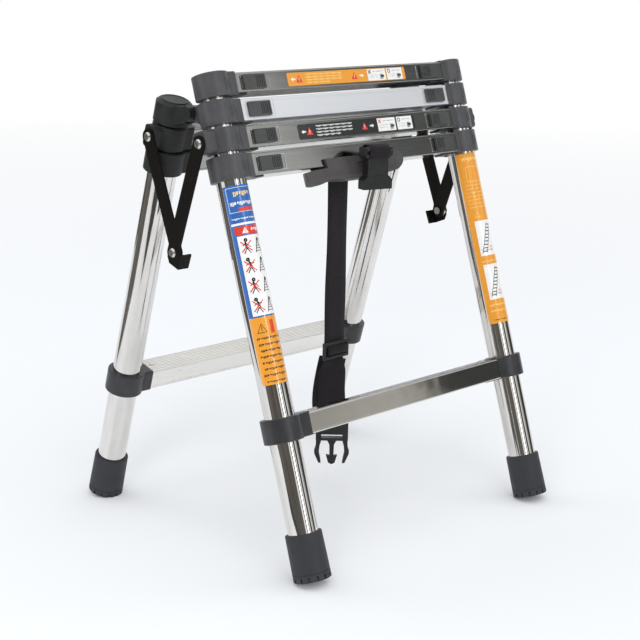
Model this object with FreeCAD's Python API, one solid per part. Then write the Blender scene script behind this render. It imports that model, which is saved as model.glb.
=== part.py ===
import FreeCAD
import Part

import math
import os

from FreeCAD import Placement, Rotation, Vector

# Telescopic A-frame step ladder, retracted and standing open.
# Millimetres, +Z up, origin on the floor under the middle of the frame.
# X runs along the rungs, the front ladder stands on the -Y side.
# Each ladder is drawn in its own frame: x along the rungs, d square to the
# legs and pointing to the back, t along the legs from the floor.

# Driving dimensions -------------------------------------------------------
HALF_WIDTH = 215.0           # from the middle to a leg's axis
FRONT_FOOT_Y = -208.6        # where a leg's axis meets the floor
BACK_FOOT_Y = 208.6
FRONT_LEAN = 18.24           # degrees from upright
BACK_LEAN = -15.63

TUBE_RADII = {"outer": 19.0, "third": 17.5, "second": 16.0, "inner": 14.5}
TUBE_WALL = 1.2

FRONT_LOW_T = 191.0          # rung levels, measured along the legs
FRONT_STACK_T = 510.5
FRONT_PITCH = 33.4
BACK_LOW_T = 182.5
BACK_STACK_T = 501.8
BACK_PITCH = 32.4

COLLAR_HEIGHT = 29.8
WIDE_COLLAR_RADIUS = 25.0
COLLAR_RADIUS = 22.5
BORE_GAP = 0.05

RUNG_HALF_LENGTH = 189.6
LOW_RUNG_HALF_LENGTH = 182.5  # the low collars' blocks reach further in
RUNG_DEPTH = 35.0
RUNG_HEIGHT = 26.6
TOP_RUNG_HEIGHT = 24.0
RUNG_WALL = 2.0
RUNG_RIM = 3.0               # lips above and below a rung's sunk faces
RUNG_SINK = 0.6
RIB_COUNT = 9
RIB_HEIGHT = 0.8

LATCH_X = 162.5              # middle of a latch button
LATCH_LENGTH = 36.0
LATCH_HEIGHT = 18.0
LATCH_PROUD = 3.4
LATCH_TRAVEL = 7.0
LATCH_PIN_RADIUS = 3.5
LATCH_SLOT_IN = 14.5         # slot ends from the button's middle
LATCH_SLOT_OUT = 8.5

FOOT_RADIUS = 23.5
FOOT_HEIGHT = 58.0

HINGE_Y = 14.2               # fold pivot between the two ladders
HINGE_Z = 546.0
HINGE_PIN_RADIUS = 3.2
HINGE_PIN_REACH = 13.9       # to each side of a leg's axis

ARM_REACH = 147.0            # spreader arm, pivot to pivot
ARM_WIDTH = 20.0
ARM_THICKNESS = 2.6
TAB_OVERHANG = 4.0           # of the stop tab beyond the arm's edge
TAB_REACH = 14.0             # of the stop tab inwards from its arm
TAB_DROP = 15.0              # of the tab's lower edge below the pivot
ARM_INNER_X = 245.5          # inner face of the inner arm
ARM_GAP = 0.3
ARM_SPACING = 3.2            # between a pair's two arms, filled by a spacer
SPACER_RADIUS = 9.8
FLANGE_RADIUS = 9.2          # broad end that holds a front rivet in its boss
FLANGE_THICKNESS = 5.0
FLANGE_COVER = 2.1           # wall of the boss outside the flange
RIVET_RADIUS = 3.2
RIVET_HEAD_RADIUS = 6.0
RIVET_HEAD_HEIGHT = 2.3
TURNING_GAP = 0.08

STRAP_X = -12.0
STRAP_Y = -35.0
STRAP_TOP_Z = 460.0
ADJUSTER_Z = 222.5
STRAP_TURN_Z = 206.0         # below the adjuster, where the webbing turns
STRAP_END_Z = 104.5
PLUG_Z = 93.5                # under side of the plug's bar
STRAP_WIDTH = 38.0
STRAP_THICKNESS = 1.6
STRAP_LOWER_TURN = 45.0      # degrees that the lower webbing is turned

SIDES = {"left": -1, "right": 1}

os.makedirs("parts", exist_ok=True)

X_AXIS = Vector(1, 0, 0)
Z_AXIS = Vector(0, 0, 1)
FRONT_FRAME = Placement(Vector(0, FRONT_FOOT_Y, 0), Rotation(X_AXIS, -FRONT_LEAN))
BACK_FRAME = Placement(Vector(0, BACK_FOOT_Y, 0), Rotation(X_AXIS, -BACK_LEAN))


# Helpers ------------------------------------------------------------------
def box(x0, x1, y0, y1, z0, z1):
    """A box given by its limits, in any order along each axis."""
    low = Vector(min(x0, x1), min(y0, y1), min(z0, z1))
    size = Vector(max(x0, x1), max(y0, y1), max(z0, z1)) - low
    return Part.makeBox(size.x, size.y, size.z, low)


def round_edges(solid, radius, direction):
    """Round the straight edges of a solid that run along a direction."""
    edges = []
    for edge in solid.Edges:
        if edge.Curve.TypeId != "Part::GeomLine":
            continue
        if edge.Curve.Direction.cross(direction).Length < 1e-6:
            edges.append(edge)
    return solid.makeFillet(radius, edges)


def bar(x0, x1, y0, y1, z0, z1, radius, direction):
    return round_edges(box(x0, x1, y0, y1, z0, z1), radius, direction)


def rod(start, end, radius):
    span = end - start
    return Part.makeCylinder(radius, span.Length, start, span)


def extrude(points, direction):
    wire = Part.makePolygon(points + [points[0]])
    return Part.Face(wire).extrude(direction)


def in_frame(shape, frame):
    placed = shape.copy()
    placed.Placement = frame.multiply(placed.Placement)
    return placed


def local_point(frame, x, y, z):
    """A point of the room in a ladder's own x, d, t."""
    return frame.inverse().multVec(Vector(x, y, z))


def save(name, shape, frame=None):
    if frame is not None:
        shape = in_frame(shape, frame)
    solids = shape.Solids
    if not solids or not shape.isValid():
        raise RuntimeError("bad shape: " + name)
    if len(solids) == 1:
        shape = solids[0]
    else:
        shape = Part.makeCompound(solids)
    shape.exportStep("parts/" + name + ".step")


# Tubes and feet -----------------------------------------------------------
def tube_pair(radius, t0, t1):
    tubes = []
    for side in SIDES.values():
        x = side * HALF_WIDTH
        outside = rod(Vector(x, 0, t0), Vector(x, 0, t1), radius)
        bore = rod(Vector(x, 0, t0 - 1), Vector(x, 0, t1 + 1), radius - TUBE_WALL)
        tubes.append(outside.cut(bore))
    return Part.makeCompound(tubes)


def foot(side, frame, lean):
    """A rubber cup cut square to the leg, with a small flat where it stands."""
    x = side * HALF_WIDTH
    flat_depth = 1.4
    start = (FOOT_RADIUS * math.sin(math.radians(abs(lean))) - flat_depth)
    start = start / math.cos(math.radians(lean))
    end = start + FOOT_HEIGHT
    floor_thickness = 8.0
    body = Part.makeCone(FOOT_RADIUS, FOOT_RADIUS - 0.8, FOOT_HEIGHT, Vector(x, 0, start), Z_AXIS)
    body = body.makeFillet(1.5, [e for e in body.Edges if e.Curve.TypeId == "Part::GeomCircle"])
    bore_radius = TUBE_RADII["outer"] + BORE_GAP
    body = body.cut(rod(Vector(x, 0, start + floor_thickness), Vector(x, 0, end + 1), bore_radius))
    band = rod(Vector(x, 0, start + 9), Vector(x, 0, start + 10.2), FOOT_RADIUS + 1)
    band = band.cut(rod(Vector(x, 0, start + 8), Vector(x, 0, start + 11), FOOT_RADIUS - 0.8))
    body = body.cut(band)
    tread_count = 14
    for k in range(tread_count):
        notch = box(FOOT_RADIUS - 2.2, FOOT_RADIUS + 2, -1.4, 1.4, start - 1, start + 6.5)
        notch.rotate(Vector(0, 0, 0), Z_AXIS, (k + 0.5) * 360.0 / tread_count)
        notch.translate(Vector(x, 0, 0))
        body = body.cut(notch)
    placed = in_frame(body, frame)
    below_floor = box(-400, 400, -500, 500, -60, 0)
    return placed.cut(below_floor)


# Rungs --------------------------------------------------------------------
def rung(t, height, half_x, latch_face):
    """A hollow ribbed rung with sunk faces, and latch slots in one if asked."""
    half_d = RUNG_DEPTH / 2
    half_h = height / 2
    body = bar(-half_x, half_x, -half_d, half_d, -half_h, half_h, 1.6, X_AXIS)
    for face in (-1, 1):
        outer = face * (half_d + 1)
        inner = face * (half_d - RUNG_SINK)
        body = body.cut(box(-half_x - 1, half_x + 1, outer, inner, -half_h + RUNG_RIM, half_h - RUNG_RIM))
    in_d = half_d - RUNG_WALL
    in_h = half_h - RUNG_WALL
    body = body.cut(box(-half_x - 1, half_x + 1, -in_d, in_d, -in_h, in_h))
    rib_pitch = (RUNG_DEPTH - 6.0) / (RIB_COUNT - 1)
    ribs = []
    for k in range(RIB_COUNT):
        d = -half_d + 3.0 + k * rib_pitch
        ribs.append(box(-half_x + 3, half_x - 3, d - 0.8, d + 0.8, half_h - 0.1, half_h + RIB_HEIGHT))
    body = body.fuse(ribs)
    if latch_face:
        for side in SIDES.values():
            slot_in = side * (LATCH_X - LATCH_SLOT_IN)
            slot_out = side * (LATCH_X + LATCH_SLOT_OUT)
            slot_back = latch_face * (in_d - 1)
            slot_front = latch_face * (half_d + 1)
            body = body.cut(box(slot_in, slot_out, slot_back, slot_front, -4.6, 4.6))
    body.translate(Vector(0, 0, t))
    return body.removeSplitter()


# Collars ------------------------------------------------------------------
def collar(side, t, radius, bore, rung_height, rung_end, latched):
    """Ring about the leg, block towards the rung and a tongue inside it."""
    x = side * HALF_WIDTH
    half = COLLAR_HEIGHT / 2
    half_d = RUNG_DEPTH / 2
    body = rod(Vector(x, 0, -half), Vector(x, 0, half), radius)
    body = body.makeFillet(1.2, [e for e in body.Edges if e.Curve.TypeId == "Part::GeomCircle"])
    block = bar(side * rung_end, x, -half_d, half_d, -half + 0.3, half - 0.3, 2.0, X_AXIS)
    body = body.fuse(block)
    tongue_d = half_d - RUNG_WALL - 0.3
    tongue_h = rung_height / 2 - RUNG_WALL - 0.3
    tongue_in = side * (rung_end - 13.0)
    body = body.fuse(box(tongue_in, x, -tongue_d, tongue_d, -tongue_h, tongue_h))
    flange_in = side * (rung_end - 20.0)
    flange_top = -rung_height / 2 - 0.05
    body = body.fuse(box(flange_in, x, -half_d + 8, half_d - 8, flange_top - 1.6, flange_top))
    body = body.cut(rod(Vector(x, 0, -half - 4), Vector(x, 0, half + 4), bore))
    if latched:
        bore_start = Vector(side * (rung_end - 14), 0, 0)
        bore_end = Vector(side * (rung_end + 12), 0, 0)
        body = body.cut(rod(bore_start, bore_end, LATCH_PIN_RADIUS + 0.3))
    body.translate(Vector(0, 0, t))
    return body


def boss(side, t, face_x, tube_radius, flanged):
    """Outboard block of a collar that carries a spreader arm's pivot, and its bore."""
    x = side * HALF_WIDTH
    body = bar(side * (HALF_WIDTH + 14), side * face_x, -11, 11, t - 14, t + 14, 4.0, X_AXIS)
    body = body.cut(rod(Vector(x, 0, t - 20), Vector(x, 0, t + 20), tube_radius))
    pin_start = Vector(side * (face_x - 5.5), 0, t)
    pin_end = Vector(side * (face_x + 1), 0, t)
    bore = rod(pin_start, pin_end, RIVET_RADIUS + TURNING_GAP)
    if flanged:
        pocket_out = Vector(side * (face_x - FLANGE_COVER), 0, t)
        pocket_in = Vector(side * (face_x - FLANGE_COVER - FLANGE_THICKNESS - 0.2), 0, t)
        bore = bore.fuse(rod(pocket_in, pocket_out, FLANGE_RADIUS + TURNING_GAP))
    return body, bore


def closed_cap(x, t_top, bore, radius):
    """The shut top of a collar: a plug over the tube and a low crown."""
    plug = rod(Vector(x, 0, t_top - 0.7), Vector(x, 0, t_top), bore)
    crown = Part.makeCone(radius - 1.6, radius - 2.8, 0.7, Vector(x, 0, t_top - 0.1), Z_AXIS)
    return plug.fuse(crown)


# Latches ------------------------------------------------------------------
def latch(side, t, face):
    """Sliding button, stem and locking pin in one moving piece."""
    mid = side * LATCH_X
    seat = RUNG_DEPTH / 2 - RUNG_SINK + 0.15
    outer = seat + LATCH_PROUD
    half = LATCH_LENGTH / 2
    half_h = LATCH_HEIGHT / 2
    cap = bar(mid - half, mid + half, face * seat, face * outer, t - half_h, t + half_h, 1.4, Vector(0, 1, 0))
    rib_side = -side if face < 0 else side
    for k in range(5):
        rib_x = mid + rib_side * (2.6 + 3.0 * k)
        groove = box(rib_x - 0.7, rib_x + 0.7, face * (outer - 1.0), face * (outer + 1), t - 7.0, t + 7.0)
        cap = cap.cut(groove)
    stem = box(mid - 6, mid + 6, face * (-4.0), face * (seat + 0.5), t - 4.0, t + 4.0)
    pin_end = side * (HALF_WIDTH - TUBE_RADII["outer"] - 0.5)
    pin = rod(Vector(mid, 0, t), Vector(pin_end, 0, t), LATCH_PIN_RADIUS)
    return cap.fuse([stem, pin]).removeSplitter()


# Fold hinge ---------------------------------------------------------------
def hinge_tongue(side, frame, depth_sign, limits_x, root_t0, root_t1, radius, tube_radius, end_radius):
    """A plate square to the pin, from a collar's ring to the hinge pin."""
    x = side * HALF_WIDTH
    pin = local_point(frame, 0, HINGE_Y, HINGE_Z)
    inner_x, outer_x = limits_x
    low_x = side * (HALF_WIDTH + inner_x)
    width = Vector(side * (outer_x - inner_x), 0, 0)
    root_d = depth_sign * (radius - 6.0)
    top = Vector(low_x, root_d, root_t1)
    bottom = Vector(low_x, root_d, root_t0)
    eye_top = Vector(low_x, pin.y, pin.z + end_radius)
    eye_bottom = Vector(low_x, pin.y, pin.z - end_radius)
    plate = extrude([bottom, eye_bottom, eye_top, top], width)
    centre = Vector(low_x, pin.y, pin.z)
    eye = rod(centre, centre + width, end_radius)
    body = plate.fuse(eye)
    reach = Vector(side * (HINGE_PIN_REACH + 0.1), 0, 0)
    middle = Vector(x, pin.y, pin.z)
    body = body.cut(rod(middle - reach, middle + reach, HINGE_PIN_RADIUS + TURNING_GAP))
    return body.cut(rod(Vector(x, 0, root_t0 - 30), Vector(x, 0, root_t1 + 30), tube_radius))


def hinge_pin(side):
    """A plain pin in blind holes, out of sight inside the cap's cheeks."""
    middle = Vector(side * HALF_WIDTH, HINGE_Y, HINGE_Z)
    reach = Vector(HINGE_PIN_REACH, 0, 0)
    return rod(middle - reach, middle + reach, HINGE_PIN_RADIUS)


# Spreader -----------------------------------------------------------------
def arm_pivots():
    """Front, middle and rear pivots of a spreader in the Y-Z plane."""
    front = FRONT_FRAME.multVec(Vector(0, 0, FRONT_STACK_T + FRONT_PITCH))
    rear = BACK_FRAME.multVec(Vector(0, 0, BACK_STACK_T + BACK_PITCH))
    middle = (front + rear) * 0.5
    along = rear - front
    drop = math.sqrt(ARM_REACH ** 2 - (along.Length / 2) ** 2)
    down = Vector(0, along.z, -along.y)
    down.normalize()
    return front, middle + down * drop, rear


def arm(side, start, end, inner_x, tab_side):
    """A flat arm with round ends, and on one arm a bent stop tab."""
    half = ARM_WIDTH / 2
    length = (end - start).Length
    plate = box(0, ARM_THICKNESS, -half, half, -length, 0)
    for level in (0, -length):
        plate = plate.fuse(rod(Vector(0, 0, level), Vector(ARM_THICKNESS, 0, level), half))
    if tab_side:
        edge = tab_side * (half + TAB_OVERHANG)
        flank = edge + tab_side * ARM_THICKNESS
        foot_points = [(tab_side * half, 12), (edge, 4), (edge, -TAB_DROP),
                       (-edge * 0.1, -TAB_DROP), (-edge * 0.55, -8)]
        foot_end = extrude([Vector(0, y, z - length) for y, z in foot_points], Vector(ARM_THICKNESS, 0, 0))
        tab_low = -length - TAB_DROP
        tab_high = -length + 4
        tab = box(-TAB_REACH, ARM_THICKNESS, edge, flank, tab_low, tab_high)
        web = box(0, ARM_THICKNESS, edge - tab_side, flank, tab_low, tab_high)
        plate = plate.fuse([foot_end, web, tab])
    for level in (0, -length):
        hole = rod(Vector(-1, 0, level), Vector(ARM_THICKNESS + 1, 0, level), RIVET_RADIUS + TURNING_GAP)
        plate = plate.cut(hole)
    if side < 0:
        plate = plate.mirror(Vector(0, 0, 0), X_AXIS)
    direction = (end - start).normalize()
    tilt = math.degrees(math.atan2(direction.y, -direction.z))
    plate.rotate(Vector(0, 0, 0), X_AXIS, tilt)
    plate.translate(Vector(side * inner_x, start.y, start.z))
    return plate


def rivet(side, centre, shank_x0, shank_x1):
    """A round rivet along X with a head outside."""
    start = Vector(side * shank_x0, centre.y, centre.z)
    end = Vector(side * shank_x1, centre.y, centre.z)
    shank = rod(start, end, RIVET_RADIUS)
    out = Vector(side * RIVET_HEAD_HEIGHT, 0, 0)
    head = Part.makeCone(RIVET_HEAD_RADIUS, RIVET_HEAD_RADIUS - 1.6, RIVET_HEAD_HEIGHT, end, out)
    return shank.fuse(head)


def disc(side, centre, x0, x1, radius):
    return rod(Vector(side * x0, centre.y, centre.z), Vector(side * x1, centre.y, centre.z), radius)


# Handle, buckle and strap -------------------------------------------------
def carry_handle():
    """Grip under the lowest stacked rung, clipped over its front face."""
    under = -RUNG_HEIGHT / 2 - 0.2
    front = -RUNG_DEPTH / 2 - 0.2
    left = -114
    section = [Vector(left, front, -3.4), Vector(left, front - 3.4, -3.4), Vector(left, front - 3.8, -19),
               Vector(left, front - 1.6, -27), Vector(left, front + 4, -32), Vector(left, front + 11, -35),
               Vector(left, 2, -35), Vector(left, 8, -31), Vector(left, 11, -23), Vector(left, 11, under),
               Vector(left, front, under)]
    bulk = extrude(section, Vector(190, 0, 0))

    def point(x, t):
        return Vector(x, -40, t)

    edge = [Part.LineSegment(point(-72, -3), point(64, -3)),
            Part.LineSegment(point(64, -3), point(72, -10)),
            Part.Arc(point(72, -10), point(68, -21), point(56, -28)),
            Part.Arc(point(56, -28), point(20, -31.6), point(-30, -31.4)),
            Part.Arc(point(-30, -31.4), point(-50, -29.6), point(-64, -28.6)),
            Part.Arc(point(-64, -28.6), point(-91, -33.4), point(-110, -18.8)),
            Part.LineSegment(point(-110, -18.8), point(-94, -16.4)),
            Part.LineSegment(point(-94, -16.4), point(-70, -15.6)),
            Part.LineSegment(point(-70, -15.6), point(-72, -3))]
    outline = Part.Face(Part.Wire([piece.toShape() for piece in edge])).extrude(Vector(0, 80, 0))
    body = bulk.common(outline)
    behind_lobe = [Vector(-112, front - 4, -60), Vector(-112, front - 3.4, -60), Vector(-84, 12, -60),
                   Vector(-130, 12, -60), Vector(-130, front - 4, -60)]
    body = body.cut(extrude(behind_lobe, Vector(0, 0, 60)))
    for x in (-14.0, 14.0):
        lug = box(x - 3, x + 3, front - 9.6, front - 2, -12, -5)
        body = body.fuse(lug)
    strap_lug = box(STRAP_X - 22, STRAP_X + 22, 9, 24, -18.2, -14)
    body = body.fuse(strap_lug)
    body.translate(Vector(0, 0, FRONT_STACK_T))
    return body.removeSplitter()


def turned(shape, degrees, x, y, z):
    """Turn a piece drawn about the origin about Z and set it in its place."""
    shape.rotate(Vector(0, 0, 0), Z_AXIS, degrees)
    shape.translate(Vector(x, y, z))
    return shape


def buckle_socket():
    """Hollow half of the side-release buckle, open below, hung by its bar."""
    top = 27.0
    bottom = -27.0
    body = bar(-16, 16, -7, 7, -12, top - 12, 2.0, Z_AXIS)
    flare_points = [(-16, -10), (-21, -15), (-21, bottom), (21, bottom), (21, -15), (16, -10)]
    flare = extrude([Vector(x, -7.5, z) for x, z in flare_points], Vector(0, 15, 0))
    head = bar(-21, 21, -7.5, 7.5, top - 13, top, 2.0, X_AXIS)
    body = body.fuse([flare, head])
    body = body.cut(box(-17.5, 17.5, -4.6, 4.6, bottom - 1, -11))
    body = body.cut(box(-13, 13, -4.6, 4.6, -12, 10))
    body = body.cut(box(-17.5, 17.5, -2.2, 2.2, 13, top + 1))
    return turned(body.removeSplitter(), -15, -2, -92, 473.5)


def strap():
    """Webbing hanging straight, its part below the adjuster turned."""
    half = STRAP_WIDTH / 2
    thin = STRAP_THICKNESS / 2
    upper = turned(box(-half, half, -thin, thin, STRAP_TURN_Z - 2, STRAP_TOP_Z), 0, STRAP_X, STRAP_Y, 0)
    lower = box(-half, half, -thin, thin, STRAP_END_Z, STRAP_TURN_Z + 2)
    lower = turned(lower, -STRAP_LOWER_TURN, STRAP_X, STRAP_Y, 0)
    return upper.fuse(lower)


def strap_adjuster():
    """Three-bar slide in front of the webbing."""
    near = -STRAP_THICKNESS / 2 - 0.3
    body = bar(-23, 23, near - 4, near, -12, 12, 1.6, X_AXIS)
    for z in (-5.2, 5.2):
        body = body.cut(box(-19.5, 19.5, near - 6, near + 2, z - 2.6, z + 2.6))
    return turned(body, 0, STRAP_X, STRAP_Y, ADJUSTER_Z)


def buckle_plug():
    """Half of the side-release buckle with two sprung arms and a guide."""
    base = bar(-22, 22, -5.5, 5.5, 0, 27, 1.8, X_AXIS)
    base = base.cut(box(-14.5, 14.5, -8, 8, 4, 9.3))
    base = base.cut(box(-19.6, 19.6, -1.4, 1.4, 10.4, 30))
    pieces = []
    for side in (-1, 1):
        outline = [(14, 2), (21.4, 2), (22, -9), (24, -15), (23.6, -19),
                   (18, -32), (14.6, -32.5), (15.6, -25), (17.4, -17), (16.6, -8)]
        outline = [Vector(side * x, -3.5, z) for x, z in outline]
        pieces.append(extrude(outline, Vector(0, 7, 0)))
    guide = [(-7.5, 2), (-3.2, -6), (-2.8, -22), (-7.6, -21), (-4.6, -32), (0, -34.5),
             (4.6, -32), (7.6, -21), (2.8, -22), (3.2, -6), (7.5, 2)]
    pieces.append(extrude([Vector(x, -2.5, z) for x, z in guide], Vector(0, 5, 0)))
    body = base.fuse(pieces).removeSplitter()
    return turned(body, -STRAP_LOWER_TURN, STRAP_X, STRAP_Y, PLUG_Z)


# Front ladder -------------------------------------------------------------
FOOT_INSIDE = 16.0
LEVELS = [("f4", 0, "outer", WIDE_COLLAR_RADIUS, FOOT_INSIDE),
          ("f3", 1, "third", COLLAR_RADIUS, 40.0),
          ("f2", 2, "second", COLLAR_RADIUS, 45.0),
          ("f1", 3, "inner", COLLAR_RADIUS, 50.0)]


def front_ladder():
    outer_arm_x = ARM_INNER_X + ARM_THICKNESS + ARM_SPACING
    front_arm_face = {"left": outer_arm_x - ARM_GAP, "right": ARM_INNER_X - ARM_GAP}
    for name, step, tube, radius, tube_start in LEVELS:
        t = FRONT_STACK_T + step * FRONT_PITCH
        height = TOP_RUNG_HEIGHT if name == "f1" else RUNG_HEIGHT
        tube_end = t + COLLAR_HEIGHT / 2 - 1.0
        tube_name = "front_tubes" if name == "f4" else name + "_tubes"
        save(tube_name, tube_pair(TUBE_RADII[tube], tube_start, tube_end), FRONT_FRAME)
        save(name + "_rung", rung(t, height, RUNG_HALF_LENGTH, -1), FRONT_FRAME)
        bore = TUBE_RADII[tube] + BORE_GAP
        collars = {}
        for side_name, side in SIDES.items():
            body = collar(side, t, radius, bore, height, RUNG_HALF_LENGTH, True)
            if name == "f3":
                block, pin_bore = boss(side, t, front_arm_face[side_name], bore, True)
                body = body.fuse(block).cut(pin_bore)
            if name == "f2":
                tongue = hinge_tongue(side, FRONT_FRAME, 1, (-6, 6), t - 12, t + 14, radius, bore, 9.0)
                body = body.fuse(tongue)
            if name == "f1":
                body = body.fuse(closed_cap(side * HALF_WIDTH, t + COLLAR_HEIGHT / 2, bore, radius))
            collars[side_name] = body
            save(name + "_latch_" + side_name, latch(side, t, -1), FRONT_FRAME)
        if name == "f4":
            save("f4_collars", Part.makeCompound(list(collars.values())), FRONT_FRAME)
        else:
            for side_name, body in collars.items():
                save(name + "_collar_" + side_name, body.removeSplitter(), FRONT_FRAME)


def low_level(prefix, t, frame, lean):
    save(prefix + "_low_rung", rung(t, RUNG_HEIGHT, LOW_RUNG_HALF_LENGTH, 0), frame)
    bore = TUBE_RADII["outer"] + BORE_GAP
    collars = [collar(side, t, WIDE_COLLAR_RADIUS, bore, RUNG_HEIGHT, LOW_RUNG_HALF_LENGTH, False)
               for side in SIDES.values()]
    save(prefix + "_low_collars", Part.makeCompound(collars), frame)
    for side_name, side in SIDES.items():
        save(prefix + "_foot_" + side_name, foot(side, frame, lean))


# Back ladder --------------------------------------------------------------
def back_top():
    t = BACK_STACK_T + 2 * BACK_PITCH
    half = 14.0
    rim = half - 3.0
    radius = COLLAR_RADIUS + 0.5
    bore = TUBE_RADII["second"] + BORE_GAP
    save("k1_tubes", tube_pair(TUBE_RADII["second"], 45.0, t + half - 4.0), BACK_FRAME)
    caps = []
    for side in SIDES.values():
        x = side * HALF_WIDTH
        body = rod(Vector(x, 0, t - half), Vector(x, 0, t + rim), radius)
        body = body.cut(rod(Vector(x, 0, t - half - 1), Vector(x, 0, t + half - 3.9), bore))
        lid = Part.makeCone(radius, radius - 3.5, 3.0, Vector(x, 0, t + rim), Z_AXIS)
        body = body.fuse(lid)
        for limits_x in ((-15.5, -6.4), (6.4, 15.5)):
            cheek = hinge_tongue(side, BACK_FRAME, -1, limits_x, t - half, t + half - 1.5,
                                 COLLAR_RADIUS, bore, 9.5)
            body = body.fuse(cheek)
        caps.append(body.removeSplitter())
    save("k1_caps", Part.makeCompound(caps), BACK_FRAME)
    save("hinge_pins", Part.makeCompound([hinge_pin(side) for side in SIDES.values()]))


def back_middle():
    t = BACK_STACK_T + BACK_PITCH
    bore = TUBE_RADII["third"] + BORE_GAP
    outer_arm_x = ARM_INNER_X + ARM_THICKNESS + ARM_SPACING
    rear_arm_face = {"left": ARM_INNER_X - ARM_GAP, "right": outer_arm_x - ARM_GAP}
    save("k2_tubes", tube_pair(TUBE_RADII["third"], 40.0, t + COLLAR_HEIGHT / 2 - 1.0), BACK_FRAME)
    save("k2_rung", rung(t, RUNG_HEIGHT, RUNG_HALF_LENGTH, 1), BACK_FRAME)
    for side_name, side in SIDES.items():
        body = collar(side, t, COLLAR_RADIUS, bore, RUNG_HEIGHT, RUNG_HALF_LENGTH, True)
        block, pin_bore = boss(side, t, rear_arm_face[side_name], bore, False)
        body = body.fuse(block).cut(pin_bore).removeSplitter()
        save("k2_collar_" + side_name, body, BACK_FRAME)
        save("k2_latch_" + side_name, latch(side, t, 1), BACK_FRAME)


def back_base():
    t = BACK_STACK_T
    bore = TUBE_RADII["outer"] + BORE_GAP
    save("back_tubes", tube_pair(TUBE_RADII["outer"], FOOT_INSIDE, t + COLLAR_HEIGHT / 2 - 1.0), BACK_FRAME)
    save("k3_rung", rung(t, RUNG_HEIGHT, RUNG_HALF_LENGTH, 1), BACK_FRAME)
    collars = [collar(side, t, WIDE_COLLAR_RADIUS, bore, RUNG_HEIGHT, RUNG_HALF_LENGTH, True)
               for side in SIDES.values()]
    save("k3_collars", Part.makeCompound(collars), BACK_FRAME)
    for side_name, side in SIDES.items():
        save("k3_latch_" + side_name, latch(side, t, 1), BACK_FRAME)


def spreaders():
    """Two V linkages. The arm with the stop tab is the outer one."""
    front, middle, rear = arm_pivots()
    inner = ARM_INNER_X
    outer = ARM_INNER_X + ARM_THICKNESS + ARM_SPACING
    outer_face = outer + ARM_THICKNESS + ARM_GAP
    inner_face = inner + ARM_THICKNESS + ARM_GAP
    for side_name, side in SIDES.items():
        tab_on_front = side < 0
        front_x = outer if tab_on_front else inner
        rear_x = inner if tab_on_front else outer
        front_face = outer_face if tab_on_front else inner_face
        rear_face = inner_face if tab_on_front else outer_face
        save("spreader_front_arm_" + side_name, arm(side, front, middle, front_x, -1 if tab_on_front else 0))
        save("spreader_rear_arm_" + side_name, arm(side, rear, middle, rear_x, 0 if tab_on_front else 1))
        flange_out = front_x - ARM_GAP - FLANGE_COVER - 0.1
        flange_in = flange_out - FLANGE_THICKNESS
        front_rivet = rivet(side, front, flange_in, front_face)
        flange = disc(side, front, flange_in, flange_out, FLANGE_RADIUS)
        save("spreader_front_rivet_" + side_name, front_rivet.fuse(flange))
        middle_rivet = rivet(side, middle, inner - ARM_GAP, outer_face)
        spacer = disc(side, middle, inner + ARM_THICKNESS + 0.1, outer - 0.1, SPACER_RADIUS)
        inner_head = disc(side, middle, inner - ARM_GAP - RIVET_HEAD_HEIGHT, inner - ARM_GAP,
                          RIVET_HEAD_RADIUS - 0.8)
        save("spreader_middle_rivet_" + side_name, middle_rivet.fuse([spacer, inner_head]))
        save("spreader_rear_rivet_" + side_name, rivet(side, rear, rear_x, rear_face))


def main():
    front_ladder()
    low_level("front", FRONT_LOW_T, FRONT_FRAME, FRONT_LEAN)
    low_level("back", BACK_LOW_T, BACK_FRAME, BACK_LEAN)
    back_top()
    back_middle()
    back_base()
    spreaders()
    save("carry_handle", carry_handle(), FRONT_FRAME)
    save("buckle_socket", buckle_socket())
    save("strap", strap())
    save("strap_adjuster", strap_adjuster())
    save("buckle_plug", buckle_plug())
    print("strap hangs straight over", STRAP_TOP_Z - STRAP_END_Z, "mm, so it has no arcs")


main()
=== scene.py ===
import math

import bmesh
import bpy
from mathutils import Matrix, Vector


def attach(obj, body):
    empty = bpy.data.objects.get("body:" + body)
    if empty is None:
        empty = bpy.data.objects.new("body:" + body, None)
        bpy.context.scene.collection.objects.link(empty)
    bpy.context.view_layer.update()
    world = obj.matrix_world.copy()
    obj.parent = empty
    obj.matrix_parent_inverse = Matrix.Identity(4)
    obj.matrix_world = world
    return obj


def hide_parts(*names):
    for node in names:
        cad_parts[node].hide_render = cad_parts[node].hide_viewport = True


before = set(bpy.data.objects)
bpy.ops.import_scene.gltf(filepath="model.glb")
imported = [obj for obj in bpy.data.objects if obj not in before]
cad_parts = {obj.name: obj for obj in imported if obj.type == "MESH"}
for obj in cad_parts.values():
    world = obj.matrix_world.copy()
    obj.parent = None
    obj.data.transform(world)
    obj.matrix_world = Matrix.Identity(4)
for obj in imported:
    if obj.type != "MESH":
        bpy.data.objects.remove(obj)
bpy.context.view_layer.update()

# Sizes in metres ----------------------------------------------------------
HALF_WIDTH = 0.215                      # from the middle to a leg's axis
FRONT_LEAN = math.radians(18.24)
BACK_LEAN = math.radians(-15.63)
FOOT_Y = 0.2086                         # where the legs' axes meet the floor
TUBE_RADIUS = 0.019
RUNG_DEPTH = 0.035
RUNG_SINK = 0.0006                      # how far a rung's face lies below its lips
RUNG_FACE = RUNG_DEPTH / 2 - RUNG_SINK
# Distances along a leg from the floor: low rungs, lowest stacked level, and
# the steps between the stacked levels.
FRONT_LOW_T = 0.191
FRONT_STACK_T = 0.5105
FRONT_PITCH = 0.0334
BACK_LOW_T = 0.1825
BACK_STACK_T = 0.5018
BACK_PITCH = 0.0324

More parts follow.
